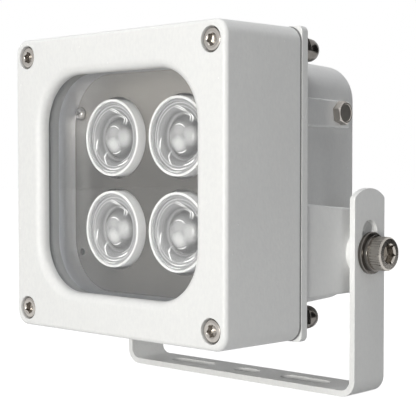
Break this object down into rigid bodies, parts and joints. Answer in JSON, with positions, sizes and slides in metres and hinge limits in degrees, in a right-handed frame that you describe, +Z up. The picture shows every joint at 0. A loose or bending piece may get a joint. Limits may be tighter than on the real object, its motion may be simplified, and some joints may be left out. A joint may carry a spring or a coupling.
{
  "type": "white light illuminator",
  "caption": "Square white lamp head with lensed LEDs behind a glass window, tilting and sliding between the slotted arms of a flat-bar U bracket.",
  "frame": {"origin": "centre of the underside of the bracket's base, on the surface that it is screwed to", "axes": "+Z up from the mounting surface, -Y towards the lit front, +X along the pivot axis"},
  "size_m": [0.1756, 0.1282, 0.1708],
  "materials": {
    "white_casting": "satin",
    "white_steel": "satin",
    "clear_glass": "polished",
    "seal_rubber": "matte",
    "frame_alloy": "satin",
    "brushed_plate": "satin",
    "bright_steel": "polished",
    "holder_white": "satin",
    "lens_acrylic": "polished",
    "led_phosphor": "gloss",
    "board_white": "satin",
    "spreader_alloy": "satin",
    "board_green": "satin",
    "lead_sleeve": "satin",
    "ferrite": "matte",
    "winding_tape": "satin",
    "choke_case": "satin",
    "terminal_green": "satin",
    "can_sleeve": "gloss",
    "gland_black": "satin"
  },
  "bodies": {
    "bracket": {"mounting_bracket": "white_steel"},
    "washer_carrier": {"pivot_washers": "bright_steel"},
    "lamp_head": {"front_housing": "white_casting", "rear_housing": "white_casting", "front_glass": "clear_glass", "glass_seal": "seal_rubber", "clamp_frame": "frame_alloy", "lens_plate": "brushed_plate", "plate_screws": "bright_steel", "plate_standoffs": "bright_steel", "led_board": "board_white", "board_screws": "bright_steel", "heat_spreader": "spreader_alloy", "spreader_screws": "bright_steel", "led_leads": "lead_sleeve", "housing_gasket": "seal_rubber", "corner_bolts": "bright_steel", "corner_washers": "bright_steel", "dome_nuts": "bright_steel", "side_bolt": "bright_steel", "spring_washers": "bright_steel", "pivot_bolts": "bright_steel", "driver_board": "board_green", "driver_screws": "bright_steel", "transformer_core": "ferrite", "transformer_winding": "winding_tape", "filter_choke": "choke_case", "terminal_block": "terminal_green", "bulk_capacitor": "can_sleeve", "output_capacitor": "can_sleeve", "gland_body": "gland_black", "gland_washer": "seal_rubber", "gland_locknut": "gland_black", "gland_seal": "seal_rubber", "gland_cap": "gland_black", "lens_holder_1": "holder_white", "lens_1": "lens_acrylic", "led_emitter_1": "led_phosphor", "lens_holder_2": "holder_white", "lens_2": "lens_acrylic", "led_emitter_2": "led_phosphor", "lens_holder_3": "holder_white", "lens_3": "lens_acrylic", "led_emitter_3": "led_phosphor", "lens_holder_4": "holder_white", "lens_4": "lens_acrylic", "led_emitter_4": "led_phosphor"}
  },
  "joints": [
    {"name": "height_slide", "type": "slide", "parent": "bracket", "child": "washer_carrier", "axis": [0, 0, 1], "range_m": [0, 0.0095]},
    {"name": "tilt", "type": "hinge", "parent": "washer_carrier", "child": "lamp_head", "pos_m": [0, 0, 0.0675], "axis": [1, 0, 0], "range_deg": [-90, 40]}
  ]
}
